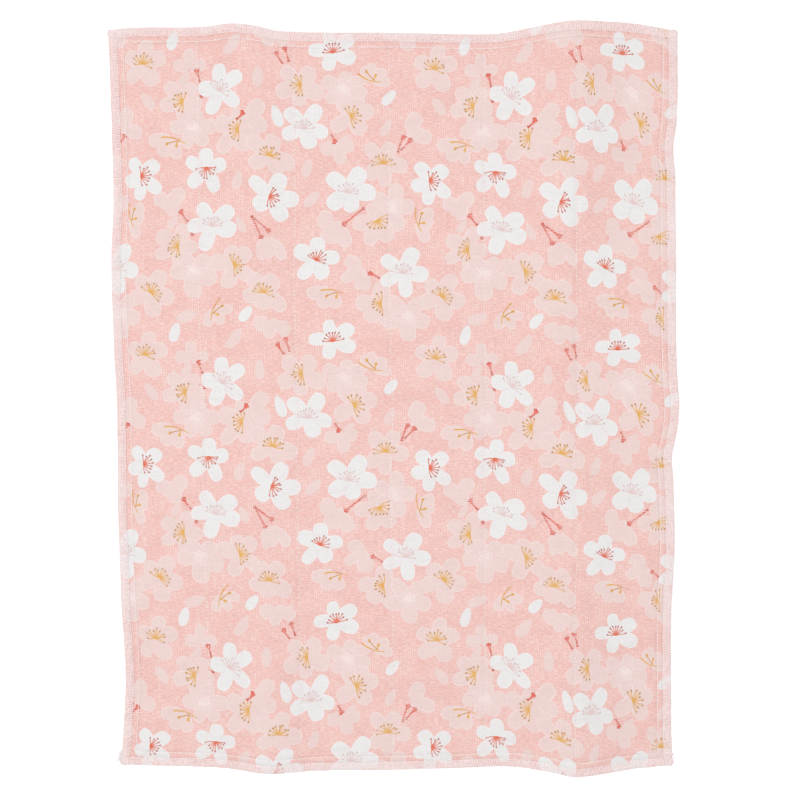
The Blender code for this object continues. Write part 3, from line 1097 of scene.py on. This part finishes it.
def edgeGroup():                           # what the sewing does to the cloth beside it, with painted shade in the hem creases and between the overlock's threads, from a place in mm
    tree, given, result = makeGroup(
        "sewnPlaces", vectors("Place"), floats("Band", "Tick", "Hole", "Pucker"),
    )
    look = edgeLook
    full = 2 * math.pi
    across, along, _ = apart(tree, given["Place"])
    fromSide = across.math("MINIMUM", across * -1.0 + cloth["width"])
    fromEnd = along.math("MINIMUM", along * -1.0 + cloth["length"])
    inset = fromSide.math("MINIMUM", fromEnd)
    onSide = fromSide.math("LESS_THAN", fromEnd)
    run = across + (along - across) * onSide
    uneven = cloud(tree, run * 0.8, inset * 0.5, 1.0) - 0.5
    bandFrom, bandTo = [look["band"] + step for step in look["bandEdge"]]
    band = (inset + uneven * 0.6).within(bandFrom, bandTo)
    phase = (run - inset * look["tickSlope"] + uneven * 0.5) * (full / look["tickPitch"])
    # the cloth between the overlock's threads, darkened with painted shade
    tickShade = phase.math("SINE").within(*look["tickShade"]) * inset.within(*look["tickInset"]) * band
    # painted shade along the creases beside the two hem seams; the same mask dents the bump
    creaseShade = (run * (full / look["creaseShadePitch"])).math("SINE").within(*look["creaseShade"]) * 0.5 + 0.5
    creases = [(inset - place + uneven * 0.3).math("ABSOLUTE") for place in look["creases"]]
    creaseShade = creaseShade * creases[0].math("MINIMUM", creases[1]).within(*look["creaseWidth"])
    seamAway = (across - cloth["seams"][0]).math("ABSOLUTE")
    for seam in cloth["seams"][1:]:
        seamAway = seamAway.math("MINIMUM", (across - seam).math("ABSOLUTE"))
    drawn = cloud(tree, across * 0.9, along * 0.35, 1.0)
    bars = ((along + drawn * 1.6) * (full / look["puckerPitch"])).math("SINE").within(*look["pucker"])
    near = seamAway.within(*look["puckerReach"]) * inset.within(*look["puckerInset"])
    give(
        tree, result,
        Band=band, Tick=tickShade, Hole=creaseShade, Pucker=bars * near * drawn.within(*look["puckerShow"]),
    )
    return tree


def emptyMaterial(name):
    material = bpy.data.materials.new(name)
    material.use_nodes = True
    tree = material.node_tree
    tree.nodes.clear()
    shader = tree.nodes.new("ShaderNodeBsdfPrincipled")
    output = tree.nodes.new("ShaderNodeOutputMaterial")
    tree.links.new(shader.outputs[0], output.inputs["Surface"])
    return material, tree, shader


def feedBump(tree, shader, height, strength, distance):    # distance in mm
    bump = tree.nodes.new("ShaderNodeBump")
    bump.inputs["Strength"].default_value = strength
    bump.inputs["Distance"].default_value = distance * mm
    tree.links.new(height.socket, bump.inputs["Height"])
    tree.links.new(bump.outputs[0], shader.inputs["Normal"])


def clothPlace(tree):                      # the cloth's own measures in mm, from its UV map
    uv = tree.nodes.new("ShaderNodeUVMap")
    uv.uv_map = "clothPlace"
    across, along, _ = apart(tree, Wire(tree, uv.outputs[0]))
    return together(tree, across * cloth["width"], along * cloth["length"])


gauzeLook = {
    "unprinted": colour(247, 226, 223),
    "band": colour(249, 233, 232), "bandPaint": (-0.45, 0.7),      # strength: by paint, and at most
    # the cloth between the overlock's threads, its colour darkened as painted shade
    "tickShade": colour(222, 172, 174), "tickShadePaint": (-0.25, 0.42),
    # painted shade in the creases beside the hem seams
    "creaseShade": colour(226, 154, 150), "creaseShadePaint": (-0.7, 1.0), "creaseShadeStrength": 0.16,
    "pucker": colour(252, 232, 228), "puckerStrength": 0.5,
    "light": colour(252, 232, 228),
    "lightWeft": (0.4, 0.11), "lightStreak": (0.2, 0.06),          # strength: by bareness, and at least
    "deep": colour(226, 182, 178),
    "deepWarp": (0.24, 0.16), "deepStreak": 0.2,
    "roughness": (-0.08, 0.95),
    "bumpStrength": 0.5, "bumpHeight": 0.3, "puckerHeight": 1.4,   # mm
    "specular": 0.15, "sheen": 0.08, "sheenRoughness": 0.6,
}


def gauzeMaterial(name, pattern, threads, sewn, printShare):
    look = gauzeLook
    material, tree, shader = emptyMaterial(name)
    place = clothPlace(tree)
    woven = useGroup(tree, threads, Place=place)
    beside = useGroup(tree, sewn, Place=place)
    printed = useGroup(tree, pattern)
    paint, weft, warp, streak = printed["Paint"], woven["Weft"], woven["Warp"], woven["Streak"]

    def sloped(wire, key):
        return wire * look[key][0] + look[key][1]

    tone = blend(tree, printShare, look["unprinted"], printed["Color"])
    tone = blend(tree, beside["Band"] * sloped(paint, "bandPaint"), tone, look["band"])
    # painted shade between the overlock's threads
    tone = blend(tree, beside["Tick"] * sloped(paint, "tickShadePaint"), tone, look["tickShade"])
    # painted crease shade beside the hem seams
    tone = blend(tree, beside["Hole"] * sloped(paint, "creaseShadePaint") * look["creaseShadeStrength"], tone, look["creaseShade"])
    tone = blend(tree, beside["Pucker"] * look["puckerStrength"], tone, look["pucker"])

    # bare pink shows its weft in dashes, printed petals show their warp
    bare = paint * -1.0 + 1.0
    light = weft * sloped(bare, "lightWeft") + streak * sloped(bare, "lightStreak")
    tone = blend(tree, light, tone, look["light"])
    deep = (warp * -1.0 + 1.0) * sloped(bare, "deepWarp") + (streak * -1.0 + 1.0) * bare * look["deepStreak"]
    tone = blend(tree, deep, tone, look["deep"], "MULTIPLY")
    tree.links.new(tone.socket, shader.inputs["Base Color"])
    tree.links.new(sloped(streak, "roughness").socket, shader.inputs["Roughness"])
    height = woven["Height"] + beside["Pucker"] * look["puckerHeight"] - beside["Hole"]
    feedBump(tree, shader, height, look["bumpStrength"], look["bumpHeight"])
    shader.inputs["Specular IOR Level"].default_value = look["specular"]
    shader.inputs["Sheen Weight"].default_value = look["sheen"]
    shader.inputs["Sheen Roughness"].default_value = look["sheenRoughness"]
    return material


threadLook = {
    "shade": 0.93,                         # of the tint, between the fibres
    "fibreScale": 900.0,
    "fibre": (0.35, 0.65),
    "roughness": (0.2, 0.55),
    "bumpStrength": 0.4, "bumpHeight": 0.06,                       # mm
    "sheen": 0.2,
}


def threadMaterial(name, tint):
    look = threadLook
    material, tree, shader = emptyMaterial(name)
    spot = tree.nodes.new("ShaderNodeTexCoord")
    x, y, z = apart(tree, Wire(tree, spot.outputs["Object"]))
    fibre = cloud(tree, (x + z) * look["fibreScale"], (y + z) * look["fibreScale"], 3.0)
    shaded = colour(*[part * look["shade"] for part in tint])
    tone = blend(tree, fibre.within(*look["fibre"]), shaded, colour(*tint))
    tree.links.new(tone.socket, shader.inputs["Base Color"])
    rough = fibre * look["roughness"][0] + look["roughness"][1]
    tree.links.new(rough.socket, shader.inputs["Roughness"])
    feedBump(tree, shader, fibre, look["bumpStrength"], look["bumpHeight"])
    shader.inputs["Sheen Weight"].default_value = look["sheen"]
    return material


undersidePrint = 0.45                      # how much of the print shows through

pattern = printGroup()
threads = weaveGroup()
sewn = edgeGroup()
printedGauze = gauzeMaterial("printedGauze", pattern, threads, sewn, 1.0)
plainGauze = gauzeMaterial("gauzeUnderside", pattern, threads, sewn, undersidePrint)
hemThread = threadMaterial("hemThread", (252, 237, 236))
seamThread = threadMaterial("seamThread", (253, 246, 245))
quiltThread = threadMaterial("quiltThread", (252, 237, 234))

print("towel: the sheet")

sheetMesh = {
    "alongStep": 1.7,                      # mm between rows
    "betweenStep": 3.0,                    # mm between columns, away from the seams
    "seamSteps": (-4.4, -3.0, -1.9, -1.0, 0.0, 1.0, 1.9, 3.0, 4.4),
}


def evenPlaces(low, high, step):           # places between low and high, about a step apart
    count = max(round((high - low) / step), 1)
    return [mixed(low, high, (i + 1) / count) for i in range(count - 1)]


def hemPlaces(size):
    insets = [row[0] for row in hem]
    return insets, [size - inset for inset in reversed(insets)]


def columnPlaces():
    left, right = hemPlaces(cloth["width"])
    places = list(left)
    for seam in cloth["seams"]:
        group = [seam + step for step in sheetMesh["seamSteps"]]
        places += evenPlaces(places[-1], group[0], sheetMesh["betweenStep"]) + group
    return places + evenPlaces(places[-1], right[0], sheetMesh["betweenStep"]) + right


def rowPlaces():
    bottom, top = hemPlaces(cloth["length"])
    return bottom + evenPlaces(bottom[-1], top[0], sheetMesh["alongStep"]) + top


def clothSheet():
    columns, rows = columnPlaces(), rowPlaces()
    shape = bmesh.new()
    bmesh.ops.create_grid(shape, x_segments=len(columns) - 1, y_segments=len(rows) - 1, size=1)
    for vertex in shape.verts:
        column = round((vertex.co.x + 1) / 2 * (len(columns) - 1))
        row = round((vertex.co.y + 1) / 2 * (len(rows) - 1))
        vertex.co = (columns[column], rows[row], 0)
    for face in shape.faces:
        face.material_index = 1
    extruded = bmesh.ops.extrude_face_region(shape, geom=list(shape.faces), use_keep_orig=True)
    over = [item for item in extruded["geom"] if isinstance(item, bmesh.types.BMVert)]
    for item in extruded["geom"]:
        if isinstance(item, bmesh.types.BMFace):
            item.material_index = 0
    bmesh.ops.translate(shape, vec=(0, 0, 1), verts=over)
    bmesh.ops.recalc_face_normals(shape, faces=list(shape.faces))
    spot = shape.loops.layers.uv.new("clothPlace")
    for face in shape.faces:
        for corner in face.loops:
            corner[spot].uv = (corner.vert.co.x / cloth["width"], corner.vert.co.y / cloth["length"])
    flat = np.array([vertex.co for vertex in shape.verts])
    underside, top = sheetFaces(flat[:, 0], flat[:, 1])
    flat[:, 2] = np.where(flat[:, 2] > 0.5, top, underside)
    for vertex, place in zip(shape.verts, placed(flat)):
        vertex.co = place
    return meshFrom(shape, "gauze_sheet")


def printOnto(mesh):
    flat = np.zeros(len(mesh.loops) * 2, np.float32)
    mesh.uv_layers["clothPlace"].uv.foreach_get("vector", flat)
    corners = flat.reshape(-1, 4, 2).astype(float) * (cloth["width"], cloth["length"])
    corners[:, :, 0], corners[:, :, 1] = beforeSewing(corners[:, :, 0], corners[:, :, 1])
    for name, screens, printScreen in (
        ("pale", paleScreens, printPetals),
        ("white", whiteScreens, printPetals),
        ("stamens", stamenScreens, printStamens),
        ("sprig", sprigScreens, printSprigs),
    ):
        for number, screen in enumerate(screens):
            printScreen(mesh, corners, name + str(number), screen)


sheetShape = clothSheet()
printOnto(sheetShape)
gauzeSheet = newPiece("gauze_sheet", sheetShape, printedGauze, plainGauze)
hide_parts("towel_cloth")

print("towel: overlocked edge")

overlock = {
    "pitch": 1.35,                         # mm from stitch to stitch
    "depth": 4.5,                          # how far in the threads reach
    "threadRadius": 0.2,
    "unevenness": 0.22,
    "sway": 0.1,                           # how far a stitch strays along the edge
    "standOff": 0.06,                      # of the threads from the cloth
    "underLift": 0.6,                      # share of it that keeps the lower thread off the table
    "rimFrom": 0.1, "rimOver": 0.15,       # shares of the depth where it turns round the rim
    "shares": (1.0, 0.7, 0.36, 0.07, -0.04, 0.07, 0.36, 0.7),      # of the depth, through one stitch
}


def edgeSpot(side, run, inset):            # a place on the cloth from a run along one of its sides
    if side == "bottom":
        return run, inset
    if side == "right":
        return cloth["width"] - inset, run
    if side == "top":
        return cloth["width"] - run, cloth["length"] - inset
    return inset, cloth["length"] - run


sideLengths = {
    "bottom": cloth["width"], "right": cloth["length"], "top": cloth["width"], "left": cloth["length"],
}


def looperPath(side, draw, above):         # one thread to and fro between the rim and the needle seam
    shares = overlock["shares"]
    points = []
    count = int(sideLengths[side] / overlock["pitch"])
    for stitch in range(count):
        start = (stitch + 0.5) * sideLengths[side] / count
        start += draw.uniform(-overlock["sway"], overlock["sway"])
        depth = overlock["depth"] + draw.uniform(-1, 1) * overlock["unevenness"]
        for step, share in enumerate(shares):
            run = start + step / len(shares) * overlock["pitch"]
            spot = edgeSpot(side, run, depth * share)
            points.append((*spot, above, share))
    return points


def threadPoints(path, offset):            # heights over the sheet's faces for a looper's path
    flat = np.array(path)
    underside, top = sheetFaces(flat[:, 0], flat[:, 1])
    below = np.maximum(underside - offset, 0.0) + offset * overlock["underLift"]
    face = np.where(flat[:, 2] > 0.5, top + offset, below)
    middle = (top + underside) / 2
    atRim = np.clip((overlock["rimFrom"] - flat[:, 3]) / overlock["rimOver"], 0, 1)
    up = mixed(face, middle, atRim)
    return placed(np.column_stack((flat[:, 0], flat[:, 1], up)))


def threadCurve(name, paths, radius, sides=1):
    curve = bpy.data.curves.new(name, "CURVE")
    curve.dimensions = "3D"
    curve.bevel_depth = radius * mm
    curve.bevel_resolution = sides
    curve.use_fill_caps = True
    curve.resolution_u = 1
    for points in paths:
        spline = curve.splines.new("POLY")
        spline.points.add(len(points) - 1)
        places = np.column_stack((points, np.ones(len(points)))).astype(np.float32)
        spline.points.foreach_set("co", places.ravel())
    holder = bpy.data.objects.new(name, curve)
    bpy.context.scene.collection.objects.link(holder)
    bpy.context.view_layer.update()
    mesh = bpy.data.meshes.new_from_object(holder.evaluated_get(bpy.context.evaluated_depsgraph_get()))
    mesh.name = name
    bpy.data.objects.remove(holder)
    bpy.data.curves.remove(curve)
    mesh.materials.clear()
    mesh.shade_smooth()
    return mesh


def overlockThread(name, above, sides):
    paths = [threadPoints(looperPath(side, chanceHem, above), overlock["standOff"]) for side in sideLengths]
    return newPiece(name, threadCurve(name, paths, overlock["threadRadius"], sides), hemThread)


chanceHem = random.Random(11)
upperThread = overlockThread("overlock_upper_thread", 1.0, 1)
lowerThread = overlockThread("overlock_lower_thread", 0.0, 0)

print("towel: seams")

stitches = {
    "needle": {"inset": 4.3, "pitch": 1.35, "length": 1.4, "width": 0.45, "height": 0.24},
    "second": {"inset": 7.45, "pitch": 1.6, "length": 1.75, "width": 0.45, "height": 0.26},
    "quilting": {"pitch": 2.25, "length": 1.6, "width": 0.44, "height": 0.2},
    "hemStray": (0.07, 0.12),              # mm to the side, and radians
    "quiltStray": (0.25, 0.12, 0.15),      # mm along, mm to the side, and radians
}


def stitchCopies(name, count):             # one plump stitch a metre long and wide, many times over
    shape = bmesh.new()
    bmesh.ops.create_uvsphere(shape, u_segments=6, v_segments=4, radius=0.5)
    single = bpy.data.objects.new(name, meshFrom(shape, name))
    bpy.context.scene.collection.objects.link(single)
    copies = single.modifiers.new("copies", "ARRAY")
    copies.count = count
    copies.use_relative_offset = False
    bpy.context.view_layer.update()
    mesh = bpy.data.meshes.new_from_object(single.evaluated_get(bpy.context.evaluated_depsgraph_get()))
    bpy.data.objects.remove(single)
    mesh.name = name
    return mesh


def sewnRow(name, size, spots, material):  # stitches at places on the cloth: across, along, way it runs
    mesh = stitchCopies(name, len(spots))
    points = np.zeros(len(mesh.vertices) * 3, np.float32)
    mesh.vertices.foreach_get("co", points)
    points = points.reshape(len(spots), -1, 3).astype(float)
    spots = np.array(spots)
    long, wide = points[:, :, 1] * size["length"], points[:, :, 0] * size["width"]
    turn = spots[:, 2][:, None]
    across = spots[:, 0][:, None] + long * np.cos(turn) - wide * np.sin(turn)
    along = spots[:, 1][:, None] + long * np.sin(turn) + wide * np.cos(turn)
    top = sheetFaces(across.ravel(), along.ravel())[1]
    up = top + points[:, :, 2].ravel() * size["height"]
    where = placed(np.column_stack((across.ravel(), along.ravel(), up)))
    mesh.vertices.foreach_set("co", where.astype(np.float32).ravel())
    mesh.shade_smooth()
    return newPiece(name, mesh, material)


def hemSpots(size):
    spots = []
    aside, turned = stitches["hemStray"]
    for side, reach in sideLengths.items():
        span = reach - 2 * size["inset"]
        count = int(span / size["pitch"])
        way = 0.0 if side in ("bottom", "top") else math.pi / 2
        for stitch in range(count):
            run = size["inset"] + (stitch + 0.5) * span / count
            spot = edgeSpot(side, run, size["inset"] + chanceHem.uniform(-aside, aside))
            spots.append((*spot, way + chanceHem.uniform(-turned, turned)))
    return spots


def quiltSpots(size):
    spots = []
    span = cloth["length"] - 2 * overlock["depth"]
    count = int(span / size["pitch"])
    ahead, aside, turned = stitches["quiltStray"]
    for seam in cloth["seams"]:
        for stitch in range(count):
            along = overlock["depth"] + (stitch + 0.5) * span / count + chanceHem.uniform(-ahead, ahead)
            across = seam + chanceHem.uniform(-aside, aside)
            spots.append((across, along, math.pi / 2 + chanceHem.uniform(-turned, turned)))
    return spots


needleSeam = sewnRow("needle_seam", stitches["needle"], hemSpots(stitches["needle"]), seamThread)
secondSeam = sewnRow("second_seam", stitches["second"], hemSpots(stitches["second"]), seamThread)
quilting = sewnRow("quilting_stitches", stitches["quilting"], quiltSpots(stitches["quilting"]), quiltThread)

print("towel: loose fibres")

fibres = {                                 # mm
    "count": 2600,
    "length": (0.6, 1.9),
    "radius": 0.035,
    "lean": (-0.9, 0.9),
    "up": (0.2, 1.7),
    "rise": (-0.3, 0.5),
    "rootInset": 0.2,
    "lowest": 0.05,
}


def rimFibres():
    draw = random.Random(23)
    paths = []
    for _ in range(fibres["count"]):
        side = draw.choices(list(sideLengths), weights=list(sideLengths.values()))[0]
        run = draw.uniform(0, sideLengths[side])
        reach = draw.uniform(*fibres["length"])
        lean = draw.uniform(*fibres["lean"])
        up = draw.uniform(*fibres["up"])
        rise = draw.uniform(*fibres["rise"])
        points = []
        for share in (0.0, 0.5, 1.0):
            spot = edgeSpot(side, run + lean * share * reach, fibres["rootInset"] - share * reach)
            points.append((*spot, max(up + rise * share, fibres["lowest"])))
        paths.append(placed(np.array(points)))
    return paths


tuft = {                                   # mm
    "across": (-0.8, 0.8),                 # where its loops start, round the tuft's own place
    "along": (-1.6, 3.2),
    "out": (0.8, 2.6),
    "bend": (-1.6, 1.6),
    "bendReach": 1.4,
    "stray": (-0.2, 0.2),
    "lowest": 0.35,
    "height": 1.5,
    "radius": 0.15,
    "inset": 0.4,
    "fromCorner": 3.0,
    "left": (-1.0, 26),                    # which way out and how far, and how many loops
    "right": (0.7, 14),
}


def cornerTuft(draw, across, outX, count):     # the cut end of the overlock chain
    paths = []
    for _ in range(count):
        points = []
        startX = across + draw.uniform(*tuft["across"])
        startY = tuft["fromCorner"] + draw.uniform(*tuft["along"])
        bendX, bendY = draw.uniform(*tuft["out"]) * outX, draw.uniform(*tuft["bend"])
        for share in (0.0, 0.2, 0.4, 0.6, 0.8, 1.0):
            loop = math.sin(share * math.pi)
            points.append((
                startX + bendX * loop + draw.uniform(*tuft["stray"]),
                startY + bendY * share * tuft["bendReach"] + draw.uniform(*tuft["stray"]),
                tuft["lowest"] + tuft["height"] * loop * draw.uniform(0.3, 1.0),
            ))
        paths.append(placed(np.array(points)))
    return paths


chanceTuft = random.Random(31)
tufts = cornerTuft(chanceTuft, tuft["inset"], *tuft["left"])
tufts += cornerTuft(chanceTuft, cloth["width"] - tuft["inset"], *tuft["right"])
rimFuzz = newPiece("rim_fibres", threadCurve("rim_fibres", rimFibres(), fibres["radius"], 0), seamThread)
chainEnds = newPiece("corner_chain_ends", threadCurve("corner_chain_ends", tufts, tuft["radius"]), seamThread)

sewing = [upperThread, lowerThread, needleSeam, secondSeam, quilting, rimFuzz, chainEnds]

print("table, light and camera")

stage = {
    "floorSize": 8.0,
    "floorBelow": 0.0004,                  # m under the towel's lowest place
    "floorColour": (0.93, 0.93, 0.93, 1.0),
    "floorRoughness": 0.9,
    "floorSpecular": 0.1,
    "floorGlow": 0.35,                     # keeps the table white right up to the cloth
    "white": (1.0, 1.0, 1.0, 1.0),
    "skyStrength": 0.65,
    "lightPower": 7.5,
    "lightPlace": (-0.15, 0.1, 1.3),
    "lightSize": 0.5,
    "lens": 100,                           # mm, and the sensor it sits before
    "sensor": 36,
    "clip": (0.05, 20),
    "cameraAway": 1.185,
    "cameraTilt": 6.0,                     # degrees past straight down, towards the upper end
    "lookAt": (2.2 * mm, 2.0 * mm, 0.0),
}


def addFloor():
    shape = bmesh.new()
    bmesh.ops.create_grid(shape, x_segments=2, y_segments=2, size=stage["floorSize"] / 2)
    bmesh.ops.translate(shape, vec=(0, 0, -stage["floorBelow"]), verts=shape.verts)
    mesh = bpy.data.meshes.new("floor")
    shape.to_mesh(mesh)
    shape.free()
    material, _, shader = emptyMaterial("paleTable")
    shader.inputs["Base Color"].default_value = stage["floorColour"]
    shader.inputs["Roughness"].default_value = stage["floorRoughness"]
    shader.inputs["Specular IOR Level"].default_value = stage["floorSpecular"]
    shader.inputs["Emission Color"].default_value = stage["white"]
    shader.inputs["Emission Strength"].default_value = stage["floorGlow"]
    mesh.materials.append(material)
    floor = bpy.data.objects.new("floor", mesh)
    bpy.context.scene.collection.objects.link(floor)


def addLight():
    lamp = bpy.data.lights.new("window", "AREA")
    lamp.shape = "DISK"
    lamp.size = stage["lightSize"]
    lamp.energy = stage["lightPower"]
    holder = bpy.data.objects.new("window", lamp)
    holder.location = stage["lightPlace"]
    away = -np.array(stage["lightPlace"])
    holder.rotation_euler = (
        math.atan2(math.hypot(away[0], away[1]), -away[2]),
        0,
        math.atan2(away[1], away[0]) - math.pi / 2,
    )
    bpy.context.scene.collection.objects.link(holder)
    world = bpy.data.worlds.new("sky")
    world.use_nodes = True
    background = world.node_tree.nodes["Background"]
    background.inputs["Color"].default_value = stage["white"]
    background.inputs["Strength"].default_value = stage["skyStrength"]
    bpy.context.scene.world = world
    bpy.context.scene.view_settings.view_transform = "Standard"


def addCamera():
    lens = bpy.data.cameras.new("camera")
    lens.lens = stage["lens"]
    lens.sensor_width = stage["sensor"]
    lens.clip_start, lens.clip_end = stage["clip"]
    camera = bpy.data.objects.new("camera", lens)
    tilt = math.radians(stage["cameraTilt"])
    lookX, lookY, lookZ = stage["lookAt"]
    camera.location = (
        lookX, lookY + stage["cameraAway"] * math.sin(tilt), lookZ + stage["cameraAway"] * math.cos(tilt),
    )
    camera.rotation_euler = (-tilt, 0, 0)
    bpy.context.scene.collection.objects.link(camera)
    bpy.context.scene.camera = camera


addFloor()
addLight()
addCamera()

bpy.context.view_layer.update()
for piece in [gauzeSheet, *sewing]:
    print("piece", piece.name, len(piece.data.polygons), "faces")
